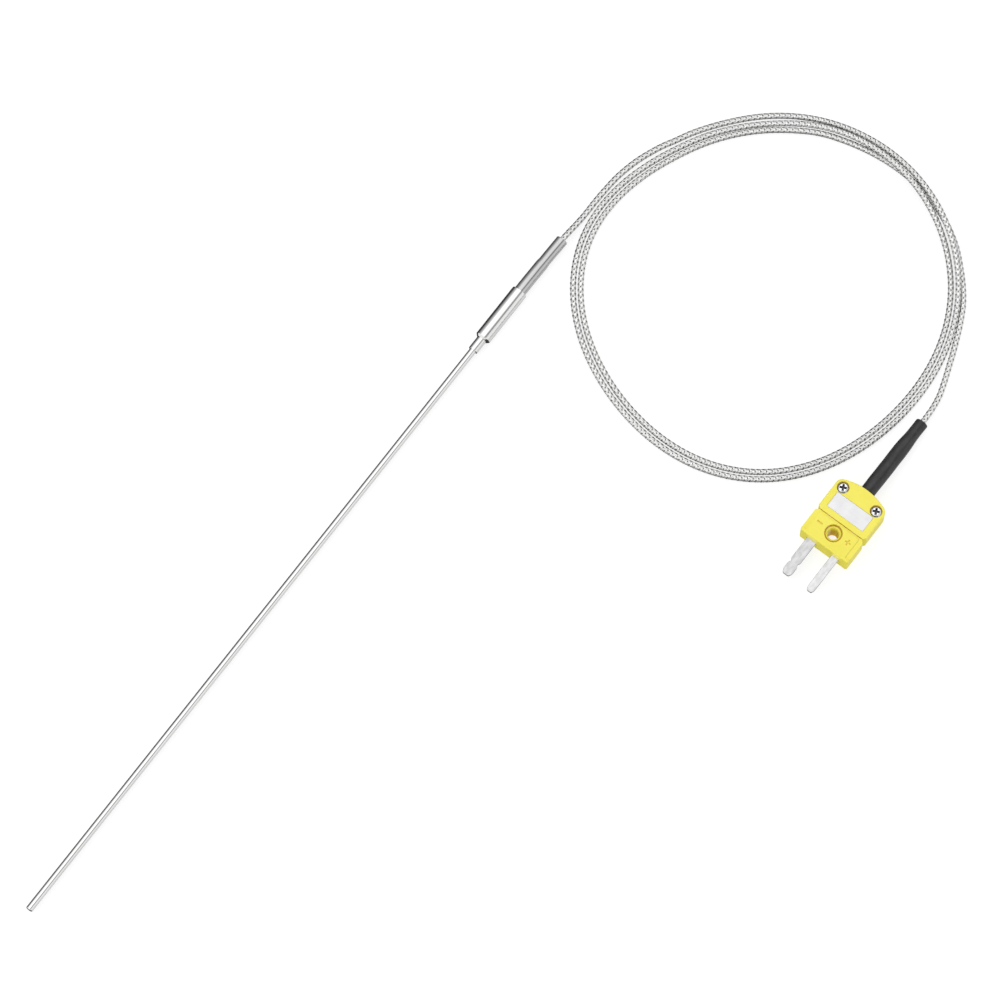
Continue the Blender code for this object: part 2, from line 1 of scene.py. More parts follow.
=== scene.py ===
"""Mineral-insulated thermocouple with a braided lead and a miniature flat-pin plug.

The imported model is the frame. Lengths are in millimetres, apart from the frame's boxes and
the camera, light and floor, which are in metres.
"""
import math

import bmesh
import bpy
import numpy as np
from mathutils import Matrix, Vector, noise


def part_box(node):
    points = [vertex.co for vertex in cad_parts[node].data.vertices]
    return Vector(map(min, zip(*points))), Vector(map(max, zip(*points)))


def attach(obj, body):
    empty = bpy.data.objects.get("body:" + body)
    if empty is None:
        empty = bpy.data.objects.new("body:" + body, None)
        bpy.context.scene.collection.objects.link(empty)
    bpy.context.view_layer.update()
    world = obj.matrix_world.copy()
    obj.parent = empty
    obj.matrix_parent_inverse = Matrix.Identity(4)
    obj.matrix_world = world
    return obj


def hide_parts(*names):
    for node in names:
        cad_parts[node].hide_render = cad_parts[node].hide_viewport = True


MM = 0.001
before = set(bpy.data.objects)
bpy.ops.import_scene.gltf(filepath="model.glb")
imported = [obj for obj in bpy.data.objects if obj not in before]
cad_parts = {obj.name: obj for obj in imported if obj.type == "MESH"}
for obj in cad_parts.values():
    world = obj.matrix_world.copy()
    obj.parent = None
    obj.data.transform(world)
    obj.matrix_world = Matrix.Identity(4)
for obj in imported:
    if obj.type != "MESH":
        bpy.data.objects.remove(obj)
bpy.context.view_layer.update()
ROOT = "probe_and_plug"
COVER = "cover"

TUBE_SIDES = 64           # facets round a turned piece

# Probe
SHEATH_WALL = 0.25
TIP_THICKNESS = 0.6
TIP_ROUNDING = 0.48
TUBE_GAP = 0.03           # round a tube that is pushed into another
POT_CHAMFER = 0.6
POT_FRONT_WALL = 2.4
POT_BORE = 1.85

# Sleeves shrunk over the lead
SLEEVE_BORE = 0.95
SLEEVE_RING = 0.6         # spacing of their rings of points
GREY_STRAIGHT = 3.0       # length of the grey sleeve that stays in line with the pot
GREY_BEND = 0.35          # how far its free end lies to the side
GREY_STEP_SPAN = (9.0, 8.0)   # where its step starts and stops, from its free end
GREY_STEP = 0.12
GREY_END_STEP = 0.06      # how far its free end lies inside its full radius
BLACK_PIVOT = 18.35       # behind the plug's front, where its axis is level with the pins
BLACK_DROOP = math.radians(4.4)
BLACK_START = 16.9
BLACK_LENGTH = 28.8
BLACK_THICK = 2.15
BLACK_THIN = 1.8
BLACK_TAPER = (8.6, 5.2)  # where its taper starts and stops, from its free end

# Plug, in its own frame: back from its front face, across, and up from the floor
PLUG_WIDTH = 16.0
PLUG_HEIGHT = 8.0
PLUG_LENGTH = 19.8
BACK_RADIUS = 18.0
CORNER_RADIUS = 2.0
EDGE_ROUNDING = 0.45
FRONT_CORNER = 0.6        # radius of the nose's two front corners
NOSE_LENGTH = 7.75
SEAM = 0.2
SEAM_FILLED = 0.06        # how much of the seam the cover's front takes
SPLIT_HEIGHT = 4.0
SPLIT_GAP = 0.05          # each half's share of the gap between base and cover
NOTCH_RADIUS = 0.85
SHELL_WALL = 1.3
FRONT_WALL = 1.2          # between the seam and the room behind it
ROOM_END = 14.1
ROOF = 6.85               # height of the cover's ceiling
SEAT_HEIGHT = 3.57        # height of the floor that the terminal pads lie on
CORE_END = 17.0           # back end of the channel and the room for the lead's cores
CHANNEL_MARGIN = 0.6      # from the room's front to the channel's
CHANNEL_FLOOR = 2.0
CHANNEL_HALF = 1.6
CORE_ROOM_START = 13.6
CORE_ROOM_HALF = 3.2
ROOM_CUT = 1.0            # where the cuts for the cover's rooms start, below the split
MOUTH_SPAN = (15.6, 24.0)   # where the sleeve's mouth starts, and past the shell's back
MOUTH_RADIUS = 2.35
PAST = 2.0                # how far a cutter reaches past the shell
CUT_TOP = 12.0            # top of a cutter that is open upward
PANEL_WIDTH = 13.0        # raised middle of the nose's top
PANEL_STEP = 0.3
PANEL_START = 0.9
PANEL_MARGIN = 0.57       # from the panel's back edge to the seam
PANEL_CUT_END = 9.0
HOLE_BACK = 4.45
NOSE_HOLE = [             # (height, radius) from the bottom up, with a groove inside the rim
    (-2, 0.0),
    (-2, 1.5),
    (6.4, 1.5),
    (7.0, 1.75),
    (7.3, 2.1),
    (6.5, 2.16),
    (6.5, 2.5),
    (7.9, 2.5),
    (8.1, 2.65),
    (10, 2.65),
    (10, 0),
]
MARK_BACK = 4.7           # the polarity marks' distance behind the front and to each side
MARK_ARM = 0.85
MARK_STROKE = 0.2
MARK_DEPTH = 0.35
LABEL_SPAN = (9.6, 14.5)
LABEL_HALF = 6.0
LABEL_CORNER = 0.35
LABEL_ROUNDING = 0.08
LABEL_SUNK = 0.03         # how far its face lies below the cover's
LABEL_FLOOR = 0.37        # depth of its underside
RECESS_GAP = 0.05
RECESS_CORNER = 0.4
RECESS_DEPTH = 0.4
PIN_HEIGHT = 4.0
PIN_PITCH = 7.92
PIN_THICKNESS = 0.8
PIN_SHOWN = 11.8
WIDE_PIN = 3.0
NARROW_PIN = 2.3
PIN_TAIL = 13.4
PIN_ROUNDING = 0.14
PIN_SIDE_GAP = 0.08       # round a pin in its slot
PIN_FACE_GAP = 0.06
PIN_SLOT_END = 1.5        # how far a slot goes behind the seam
PIN_TIP_TAPER = 1.1
PIN_TIP_SHARE = 0.62      # of a pin's width, left at its tip
PIN_WAIST_BACK = 4.1      # from the wide pin's tip to the middle of its waist
PIN_WAIST_CUT = 0.4
PIN_WAIST_SPAN = (0.75, 0.15)   # from its middle to where it starts and where it is full
PAD_START = (9.35, 9.55)  # where a pin starts and stops widening to its pad
PAD_WIDTH = 3.8
TERMINAL_BACK = 11.6
TERMINAL_HOLE = 0.8
TERMINAL_WELL = 0.95
TERMINAL_WELL_FLOOR = 1.9
SCREW_BACK = 16.4
SCREW_SPREAD = 11.1
SCREW_SEAT = 6.63
SCREW_SEAT_GAP = 0.03
SCREW_SHANK = 0.95
SCREW_LENGTH = 5.2
SCREW_HEAD = 1.46
SCREW_TOP = 1.15          # height of its head
SCREW_BORE = 1.02
SCREW_BORE_FLOOR = 0.9
SCREW_WELL = 1.7
SCREW_WELL_MOUTH = 1.8
SCREW_GAP_DEPTH = 0.9     # how deep the gap round the head goes below the seat
CROSS_ARM = 1.05
CROSS_STROKE = 0.34
CROSS_FOOT = 0.6          # share of the cross's width that is left at its floor
CROSS_FLOOR = 0.1         # height above the screw's seat
CROSS_TURN = math.radians(25)

# Lead: a wire overbraid round an insulated pair
LEAD_RADIUS = 0.9
BRAID_CARRIERS = 4        # ribbons of wire in each direction
BRAID_LAY = 6.2           # length along the lead of one turn of a ribbon
BRAID_WAVE = 0.06         # how far a ribbon rises over and dips under the others
RIBBON_WIRES = 5
RIBBON_WIDTH = 0.86
RIBBON_ARCH = 0.09        # how far a ribbon's edges lie below its middle
RIBBON_SUNK = 0.01        # how far the highest ribbon lies inside the lead's radius
CORE_COVER = 0.66         # radius of the dark insulation under the braid
CORE_SIDES = 12
CURVE_STEPS = 24          # points between two of the route's points
CORD_SPACING = 3.0
FLOOR_GAP = 0.02          # under the coil

# The lead's free stretches, as points on its centreline
FROM_POT = [
    (96.25, 0.0, 2.25),
    (101.0, -0.02, 2.25),
    (107.0, -0.1, 2.25),
    (113.0, -0.22, 2.25),
    (118.35, -0.3, 2.25),
    (120.8, -0.4, 2.1),
    (123.6, -0.55, 1.6),
    (126.6, -0.65, 1.1),
    (129.2, -0.68, 0.93),
    (132.6, -0.65, 0.92),
    (136.8, -0.8, 0.92),
    (142.7, -1.3, 0.92),
    (149.3, -2.8, 0.92),
    (155.8, -5.3, 0.92),
]
INTO_PLUG = [
    (174.6, -95.6, 0.92),
    (170.2, -98.9, 0.92),
    (165.3, -101.5, 0.92),
    (161.2, -103.3, 0.92),
    (157.3, -104.9, 0.92),
    (154.6, -105.9, 0.92),
    (150.9, -107.3, 0.93),
    (148.6, -108.1, 0.95),
    (145.4, -109.1, 1.2),
    (141.8, -109.75, 1.6),
    (138.9, -109.95, 1.83),
    (136.35, -110.0, 1.93),
    (130.0, -110.0, 2.42),
    (120.0, -110.0, 3.19),
    (112.0, -110.0, 3.8),
    (105.4, -110.0, 4.31),
]

# The coil, wound clockwise from above between the two free stretches
COIL_CENTRE = (139.6, -53.8)
COIL_RADIUS = 52.04
COIL_WAVES = [(0.56, 36), (1.09, 19), (0.79, 16), (0.46, -27)]   # size, angle of its peak
COIL_START = 66
COIL_END = -764
COIL_STEP = 5
LANES = [                 # how far each part of the winding lies outside the first turn
    (66, 0.45),
    (45, 0.0),
    (-245, 0.1),
    (-300, -1.85),
    (-325, -2.3),
    (-345, -2.0),
    (-605, -2.0),
    (-657, -3.75),
    (-690, -4.15),
    (-705, -3.7),
    (-764, 0.96),
]
HUMPS = [-31, -365]       # where a turn rides over the end of the winding
HUMP_REACH = 45
HUMP_HEIGHT = 1.86


def smooth_step(t):
    t = min(max(t, 0.0), 1.0)
    return t * t * (3 - 2 * t)


# ---------------------------------------------------------------- camera, light and floor

CAMERA_LENS = 237.8
CAMERA_DISTANCE = 1.8
CAMERA_TILT = math.radians(15)
CAMERA_TURN = math.radians(52.72)    # the photograph's right, measured from +X towards -Y
LOOK_AT = Vector((0.04924, -0.0312, 0.0))


def make_camera():
    right = Vector((math.cos(CAMERA_TURN), -math.sin(CAMERA_TURN), 0.0))
    away = Vector((math.sin(CAMERA_TURN), math.cos(CAMERA_TURN), 0.0))
    back = -away * math.sin(CAMERA_TILT) + Vector((0.0, 0.0, math.cos(CAMERA_TILT)))
    data = bpy.data.cameras.new("camera")
    data.lens = CAMERA_LENS
    data.sensor_width = 36.0
    data.clip_end = 20.0
    camera = bpy.data.objects.new("camera", data)
    place = Matrix((right, back.cross(right), back)).transposed().to_4x4()
    place.translation = LOOK_AT + back * CAMERA_DISTANCE
    camera.matrix_world = place
    bpy.context.scene.collection.objects.link(camera)
    bpy.context.scene.camera = camera


# Brightness of the surround by its direction about the probe's axis, in degrees from
# overhead towards +Y: two white screens, a narrow gap between them and a dark side
SURROUND = [
    (-180, 0.74),
    (-95, 0.74),
    (-84, 0.85),
    (-74, 1.0),
    (-55, 0.9),
    (-46, 0.85),
    (-39, 0.3),
    (-24, 0.3),
    (-16, 0.95),
    (-6, 1.3),
    (38, 1.3),
    (48, 0.9),
    (57, 0.6),
    (76, 0.34),
    (86, 0.2),
    (98, 0.08),
    (112, 0.03),
    (140, 0.03),
    (154, 0.6),
    (180, 0.74),
]
BRIGHTEST = 1.3
UNDERSIDE = 0.05
HORIZON = (-0.12, 0.03)   # heights between which the screens rise out of the dark underside
LOW_SCREENS = (-2.5, -1.0)   # below that they go on where y * (-2.5 x - 1) is large
LOW_EDGE = (0.2, 0.45)
AHEAD = 0.95              # a small screen beyond the probe's tip
AHEAD_WAY = (-0.87, 0.5)
AHEAD_EDGE = (0.75, 0.9)
KEY_SIZE = 1.6
KEY_POWER = 1.2
KEY_PLACE = (-0.3, 0.5, 1.8)
FLOOR_HALF = 30.0
FLOOR_GREYS = (0.30, 0.31)
FLOOR_GLOW = 0.78


def set_input(tree, node, key, value):
    if isinstance(value, bpy.types.NodeSocket):
        tree.links.new(value, node.inputs[key])
    else:
        node.inputs[key].default_value = value


def add_node(tree, kind, inputs, **settings):
    made = tree.nodes.new(kind)
    for name, value in settings.items():
        setattr(made, name, value)
    for key, value in inputs.items():
        set_input(tree, made, key, value)
    return made


def calculate(tree, operation, *values):
    return add_node(tree, "ShaderNodeMath", dict(enumerate(values)), operation=operation).outputs[0]


def spread(tree, value, low, high):
    """0 below low, 1 above high, and smooth between."""
    inputs = {"Value": value, "From Min": low, "From Max": high}
    node = add_node(tree, "ShaderNodeMapRange", inputs, interpolation_type="SMOOTHSTEP")
    return node.outputs["Result"]


def make_light():
    """A soft surround for the reflections and the even light, and one weak key light."""
    world = bpy.data.worlds.new("surround")
    bpy.context.scene.world = world
    world.use_nodes = True
    tree = world.node_tree
    way = tree.nodes.new("ShaderNodeTexCoord").outputs["Generated"]
    parts = add_node(tree, "ShaderNodeSeparateXYZ", {"Vector": way}).outputs
    turn = calculate(tree, "ARCTAN2", parts["Y"], parts["Z"])
    share = calculate(tree, "MULTIPLY_ADD", turn, 0.5 / math.pi, 0.5)
    ramp = add_node(tree, "ShaderNodeValToRGB", {"Fac": share})
    stops = ramp.color_ramp.elements
    for angle, value in SURROUND[1:-1]:
        stops.new(angle / 360 + 0.5)
    for stop, (angle, value) in zip(stops, SURROUND):
        stop.color = (value / BRIGHTEST,) * 3 + (1.0,)
    above = spread(tree, parts["Z"], *HORIZON)
    along = calculate(tree, "MULTIPLY_ADD", parts["X"], *LOW_SCREENS)
    low = spread(tree, calculate(tree, "MULTIPLY", parts["Y"], along), *LOW_EDGE)
    shown = calculate(tree, "MAXIMUM", above, low)
    mix = add_node(tree, "ShaderNodeMix", {"Factor": shown}, data_type="RGBA")
    set_input(tree, mix, 6, (UNDERSIDE / BRIGHTEST,) * 3 + (1.0,))
    set_input(tree, mix, 7, ramp.outputs["Color"])
    sideways = calculate(tree, "MULTIPLY", parts["Y"], AHEAD_WAY[1])
    ahead = calculate(tree, "MULTIPLY_ADD", parts["X"], AHEAD_WAY[0], sideways)
    inputs = {"Factor": spread(tree, ahead, *AHEAD_EDGE)}
    screen = add_node(tree, "ShaderNodeMix", inputs, data_type="RGBA")
    set_input(tree, screen, 6, mix.outputs[2])
    set_input(tree, screen, 7, (AHEAD / BRIGHTEST,) * 3 + (1.0,))
    background = tree.nodes["Background"]
    set_input(tree, background, "Color", screen.outputs[2])
    set_input(tree, background, "Strength", BRIGHTEST)

    data = bpy.data.lights.new("key", "AREA")
    data.size = KEY_SIZE
    data.energy = KEY_POWER
    key = bpy.data.objects.new("key", data)
    key.location = KEY_PLACE
    key.rotation_euler = (LOOK_AT - key.location).to_track_quat("-Z", "Y").to_euler()
    key.visible_glossy = False
    bpy.context.scene.collection.objects.link(key)
    bpy.context.scene.view_settings.view_transform = "Standard"


def make_floor():
    mesh = bpy.data.meshes.new("floor")
    half = FLOOR_HALF
    corners = [(-half, -half, 0), (half, -half, 0), (half, half, 0), (-half, half, 0)]
    mesh.from_pydata(corners, [], [(0, 1, 2, 3)])
    floor = bpy.data.objects.new("floor", mesh)
    bpy.context.scene.collection.objects.link(floor)
    dark, light = [(grey,) * 3 for grey in FLOOR_GREYS]
    paint = Paint("floor_paper", dark, 0.9)
    paint.mottle(dark, light, 40)
    paint.set("Specular IOR Level", 0.0)
    paint.set("Emission Color", (1.0, 1.0, 1.0, 1.0))
    paint.set("Emission Strength", FLOOR_GLOW)
    mesh.materials.append(paint.material)
    floor.visible_glossy = False


# ---------------------------------------------------------------- materials

NOISE_SPAN = (0.35, 0.65)   # where most of a noise pattern's values lie
HOLLOW_SHADE_SPAN = (0.1, 0.6)    # how open the surface is where the painted shade in hollows is full and gone


class Paint:
    """A node material, built up from a Principled shader in steps."""

    def __init__(self, name, colour, roughness, metallic=0.0):
        self.material = bpy.data.materials.new(name)
        self.material.use_nodes = True
        self.tree = self.material.node_tree
        self.shader = self.tree.nodes["Principled BSDF"]
        self.place = self.tree.nodes.new("ShaderNodeTexCoord").outputs["Object"]
        self.bumps = None
        self.set("Base Color", (*colour, 1.0))
        self.set("Roughness", roughness)
        self.set("Metallic", metallic)

    def set(self, name, value):
        set_input(self.tree, self.shader, name, value)

    def noise(self, scale, stretch=(1, 1, 1)):
        """A noise pattern with so many cells to the metre, drawn out along an axis."""
        mapping = add_node(self.tree, "ShaderNodeMapping", {"Vector": self.place, "Scale": stretch})
        inputs = {"Vector": mapping.outputs[0], "Scale": scale, "Detail": 3.0}
        return add_node(self.tree, "ShaderNodeTexNoise", inputs).outputs["Fac"]

    def ramp(self, value, low, high):
        """The value spread between two colours or two grey levels."""
        node = add_node(self.tree, "ShaderNodeValToRGB", {"Fac": value})
        for stop, place, colour in zip(node.color_ramp.elements, NOISE_SPAN, (low, high)):
            stop.position = place
            stop.color = (*colour, 1.0) if isinstance(colour, tuple) else (colour,) * 3 + (1.0,)
        return node.outputs["Color"]

    def mottle(self, low, high, scale, stretch=(1, 1, 1)):
        self.set("Base Color", self.ramp(self.noise(scale, stretch), low, high))

    def rub(self, low, high, scale, stretch=(1, 1, 1)):
        self.set("Roughness", self.ramp(self.noise(scale, stretch), low, high))

    def bump(self, height, depth, strength=1.0):
        """Raises the surface by up to the depth, in millimetres."""
        inputs = {"Height": height, "Distance": depth * MM, "Strength": strength}
        if self.bumps is not None:
            inputs["Normal"] = self.bumps
        self.bumps = add_node(self.tree, "ShaderNodeBump", inputs).outputs["Normal"]
        self.set("Normal", self.bumps)

    def paint_hollow_shade(self, colour, reach):
        """Paints shade: draws the base colour towards a shade colour where the surface is shut in.
        """
        inputs = {"Distance": reach * MM}
        node = add_node(self.tree, "ShaderNodeAmbientOcclusion", inputs, samples=8)
        openness = spread(self.tree, node.outputs["AO"], *HOLLOW_SHADE_SPAN)
        mix = add_node(self.tree, "ShaderNodeMix", {"Factor": openness}, data_type="RGBA")
        set_input(self.tree, mix, 6, (*colour, 1.0))
        set_input(self.tree, mix, 7, self.shader.inputs["Base Color"].links[0].from_socket)
        self.set("Base Color", mix.outputs[2])

    def soften(self, radius):
        """Rounds the look of sharp edges."""
        node = add_node(self.tree, "ShaderNodeBevel", {"Radius": radius * MM}, samples=4)
        self.bumps = node.outputs["Normal"]
        self.set("Normal", self.bumps)


def steel_paint():
    """Drawn and polished stainless steel, with fine lines along the tube."""
    paint = Paint("polished_steel", (0.86, 0.86, 0.855), 0.14, 1.0)
    paint.mottle((0.84, 0.84, 0.835), (0.88, 0.88, 0.875), 300, (0.15, 1, 1))
    paint.rub(0.10, 0.18, 900, (0.05, 1, 1))
    paint.bump(paint.noise(5000, (0.02, 1, 1)), 0.002)
    return paint.material


def braid_paint():
    """Bright wires lying side by side across a ribbon of the braid."""
    paint = Paint("braid_wire", (0.92, 0.92, 0.91), 0.25, 1.0)
    paint.mottle((0.86, 0.86, 0.85), (0.96, 0.96, 0.95), 700)
    uv = paint.tree.nodes.new("ShaderNodeUVMap").outputs[0]
    across = add_node(paint.tree, "ShaderNodeSeparateXYZ", {"Vector": uv}).outputs["X"]
    turn = calculate(paint.tree, "MULTIPLY", across, RIBBON_WIRES * 2 * math.pi)
    paint.bump(calculate(paint.tree, "COSINE", turn), 0.03, 0.5)
    return paint.material


def plain_paints():
    """The remaining materials, by name."""
    paints = {}

    def keep(key, paint):
        paints[key] = paint.material

    core = Paint("lead_insulation", (0.10, 0.09, 0.08), 0.7)
    core.mottle((0.05, 0.05, 0.05), (0.13, 0.12, 0.11), 900)
    keep("core", core)

    grey = Paint("grey_shrink", (0.58, 0.58, 0.58), 0.13, 0.9)
    grey.mottle((0.54, 0.54, 0.54), (0.62, 0.62, 0.62), 250, (0.2, 1, 1))
    grey.rub(0.10, 0.16, 1200, (0.3, 1, 1))
    grey.bump(grey.noise(900, (0.15, 1, 1)), 0.03, 0.5)
    keep("grey", grey)

    black = Paint("black_shrink", (0.025, 0.025, 0.025), 0.4)
    black.mottle((0.015, 0.015, 0.016), (0.032, 0.032, 0.033), 700, (0.4, 1, 1))
    black.rub(0.3, 0.5, 1500)
    black.bump(black.noise(1500), 0.03, 0.5)
    keep("black", black)

    yellow = Paint("yellow_plastic", (0.94, 0.84, 0.10), 0.35)
    yellow.soften(0.12)
    yellow.mottle((0.93, 0.83, 0.09), (0.96, 0.87, 0.11), 150)
    # Painted shade: the yellow turns orange in the seams, marks, holes and round the label, where
    # the surface is shut in
    yellow.paint_hollow_shade((0.93, 0.62, 0.05), 3.0)
    yellow.rub(0.30, 0.40, 800)
    yellow.bump(yellow.noise(4000), 0.006, 0.5)
    keep("yellow", yellow)

    label = Paint("label_film", (0.88, 0.88, 0.89), 0.5)
    label.mottle((0.84, 0.84, 0.86), (0.92, 0.92, 0.92), 250)
    label.bump(label.noise(3000), 0.01, 0.5)
    keep("label", label)

    for key, grey_level in (("nickel_aluminium", 0.62), ("nickel_chromium", 0.70)):
        strip = Paint(key + "_strip", (grey_level,) * 3, 0.4, 1.0)
        strip.mottle((grey_level - 0.08,) * 3, (grey_level + 0.06,) * 3, 1100, (0.5, 1, 1))
        strip.rub(0.32, 0.46, 1500, (0.3, 1, 1))
        strip.bump(strip.noise(2500, (0.5, 1, 1)), 0.02, 0.7)
        keep(key, strip)

    plated = Paint("plated_screw", (0.88, 0.88, 0.88), 0.18, 1.0)
    plated.soften(0.06)
    plated.mottle((0.80, 0.80, 0.80), (0.93, 0.93, 0.93), 1500)
    plated.rub(0.12, 0.26, 3000)
    plated.bump(plated.noise(5000), 0.004, 0.6)
    keep("plated", plated)

    recess = Paint("recess_shade", (0.08, 0.08, 0.10), 0.35, 0.7)
    recess.mottle((0.05, 0.05, 0.07), (0.14, 0.14, 0.16), 3000)
    keep("recess", recess)

    oxide = Paint("packed_oxide", (0.88, 0.87, 0.84), 0.9)
    oxide.mottle((0.82, 0.81, 0.78), (0.92, 0.91, 0.88), 4000)
    oxide.bump(oxide.noise(8000), 0.02, 0.7)
    keep("oxide", oxide)

    resin = Paint("potting_resin", (0.03, 0.03, 0.03), 0.35)
    resin.mottle((0.02, 0.02, 0.02), (0.05, 0.05, 0.05), 800)
    resin.bump(resin.noise(2000), 0.02, 0.5)
    keep("resin", resin)

    crimp = Paint("crimped_nickel", (0.72, 0.70, 0.66), 0.3, 1.0)
    crimp.mottle((0.66, 0.64, 0.60), (0.76, 0.74, 0.70), 2500)
    crimp.bump(crimp.noise(6000), 0.008, 0.6)
    keep("crimp", crimp)
    return paints


# ---------------------------------------------------------------- shape helpers

def to_world(points):
    return [tuple(Vector(point) * MM) for point in points]


def piece_from_mesh(name, mesh, materials, body, slot, *nodes, sharp=30):
    """A shaded piece that rides on a body and stands for the CAD nodes."""
    mesh.shade_smooth()
    mesh.set_sharp_from_angle(angle=math.radians(sharp))
    piece = bpy.data.objects.new(name, mesh)
    bpy.context.scene.collection.objects.link(piece)
    for material in materials:
        mesh.materials.append(material)
    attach(piece, body)
    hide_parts(*nodes)
    return piece


def rounded(corners, steps=4, closed=False):
    """An outline from (x, y, size) corners, each turned into a short curve of that size."""
    out = []
    last = len(corners) - 1
    for i, (x, y, size) in enumerate(corners):
        corner = Vector((x, y))
        if size == 0 or (not closed and i in (0, last)):
            out.append(tuple(corner))
            continue
        before = Vector(corners[i - 1][:2]) - corner
        after = Vector(corners[(i + 1) % len(corners)][:2]) - corner
        start = corner + before.normalized() * min(size, 0.48 * before.length)
        end = corner + after.normalized() * min(size, 0.48 * after.length)
        for step in range(steps + 1):
            t = step / steps
            out.append(tuple(start.lerp(corner, t).lerp(corner.lerp(end, t), t)))
    return out


def ringed(profile, spacing):
    """The same profile with its long runs divided, so that they can bend."""
    out = [profile[0]]
    for (x0, r0), (x1, r1) in zip(profile, profile[1:]):
        count = max(1, round(abs(x1 - x0) / spacing))
        out += [(x0 + (x1 - x0) * i / count, r0 + (r1 - r0) * i / count)
                for i in range(1, count + 1)]
    return out


def lathe_mesh(name, profile, sides=48, wobble=None):
    """A shape turned about X from (distance along, radius) points, outer side first.
    wobble(along) gives the axis's (y, z) shift there."""
    angles = [2 * math.pi * i / sides for i in range(sides)]
    vertices, rings = [], []
    for along, radius in profile:
        y, z = wobble(along) if wobble else (0.0, 0.0)
        if radius == 0:
            rings.append([len(vertices)])
            vertices.append((along, y, z))
            continue
        rings.append(list(range(len(vertices), len(vertices) + sides)))
        vertices += [(along, y + radius * math.cos(a), z + radius * math.sin(a)) for a in angles]
    faces = []
    open_profile = len(rings[0]) == 1 or len(rings[-1]) == 1
    pairs = list(zip(rings, rings[1:]))
    if not open_profile:
        pairs.append((rings[-1], rings[0]))
    for a, b in pairs:
        for i in range(sides):
            j = (i + 1) % sides
            quad = [a[i % len(a)], b[i % len(b)], b[j % len(b)], a[j % len(a)]]
            face = list(dict.fromkeys(quad))
            if len(face) > 2:
                faces.append(face)
    mesh = bpy.data.meshes.new(name)
    mesh.from_pydata(to_world(vertices), [], faces)
    face_outward(mesh)
    return mesh


def face_outward(mesh):
    bm = bmesh.new()
    bm.from_mesh(mesh)
    bmesh.ops.recalc_face_normals(bm, faces=bm.faces)
    bm.to_mesh(mesh)
    bm.free()


def solid(name, outline, low, high, foot=1.0):
    """An object with a flat outline drawn up from low to high, in millimetres. Its lower
    end is scaled by foot."""
    mesh = bpy.data.meshes.new(name)
    bm = bmesh.new()
    for z, scale in ((low, foot), (high, 1.0)):
        bm.faces.new([bm.verts.new(Vector((x * scale, y * scale, z)) * MM) for x, y in outline])
    bmesh.ops.bridge_loops(bm, edges=bm.edges)
    bmesh.ops.recalc_face_normals(bm, faces=bm.faces)
    bm.to_mesh(mesh)
    bm.free()
    made = bpy.data.objects.new(name, mesh)
    bpy.context.scene.collection.objects.link(made)
    return made


def block(name, low, high):
    outline = [(low[0], low[1]), (high[0], low[1]), (high[0], high[1]), (low[0], high[1])]
    return solid(name, outline, low[2], high[2])


def drill(name, place, profile, sides=48):
    """A turned cutter about Z through (x, y), from (height, radius) points."""
    mesh = lathe_mesh(name, profile, sides)
    mesh.transform(Matrix.Rotation(-math.pi / 2, 4, "Y"))
    made = bpy.data.objects.new(name, mesh)
    made.location = Vector((*place, 0.0)) * MM
    bpy.context.scene.collection.objects.link(made)
    return made


def arc(centre, radius, start, end, count):
    """Points of an arc, with both ends; angles in degrees."""
    angles = [math.radians(start + (end - start) * i / count) for i in range(count + 1)]
    return [(centre[0] + radius * math.cos(a), centre[1] + radius * math.sin(a)) for a in angles]


def round_edges(made, width, segments, angle=50):
    bevel = made.modifiers.new("round", "BEVEL")
    bevel.width = width * MM
    bevel.segments = segments
    bevel.limit_method = "ANGLE"
    bevel.angle_limit = math.radians(angle)


def carve(target, cutters=()):
    """The target's mesh after its modifiers and cuts. The target and cutters are removed."""
    for tool in cutters:
        cut = target.modifiers.new(tool.name, "BOOLEAN")
        cut.object = tool
        cut.solver = "EXACT"
    bpy.context.view_layer.update()
    graph = bpy.context.evaluated_depsgraph_get()
    mesh = bpy.data.meshes.new_from_object(target.evaluated_get(graph))
    mesh.materials.clear()
    mesh.transform(target.matrix_world)
    for gone in [target, *cutters]:
        bpy.data.objects.remove(gone, do_unlink=True)
    return mesh


def roughen(mesh, depth, scale):
    """Moves the surface in and out by up to the depth, in millimetres, in soft waves."""
    shifts = [v.normal * noise.noise(v.co * scale) * depth * MM for v in mesh.vertices]
    for vertex, shift in zip(mesh.vertices, shifts):
        vertex.co += shift


def even_normals(piece):
    """Keeps large flat faces flat beside rounded edges."""
    weighted = piece.modifiers.new("even_normals", "WEIGHTED_NORMAL")
    weighted.keep_sharp = True
    weighted.weight = 100


# ---------------------------------------------------------------- lead

def lane(angle):
    """How far outside the first turn the winding lies at this angle wound."""
    for (start, a), (end, b) in zip(LANES, LANES[1:]):
        if angle >= end:
            return a + (b - a) * smooth_step((start - angle) / (start - end))
    return LANES[-1][1]


def coil_point(angle):
    radius = COIL_RADIUS + lane(angle)
    for order, (size, peak) in enumerate(COIL_WAVES, 1):
        radius += size * math.cos(math.radians(order * (angle + peak)))
    height = LEAD_RADIUS + FLOOR_GAP
    for top in HUMPS:
        away = abs(angle - top) / HUMP_REACH
        if away < 1:
            height += HUMP_HEIGHT * math.cos(away * math.pi / 2) ** 2
    turn = math.radians(angle)
    x, y = COIL_CENTRE
    return (x + radius * math.cos(turn), y + radius * math.sin(turn), height)


def lead_route():
    """The lead's whole centreline, from inside the pot to inside the plug."""
    turns = [coil_point(angle) for angle in range(COIL_START, COIL_END - 1, -COIL_STEP)]
    return FROM_POT + turns + INTO_PLUG


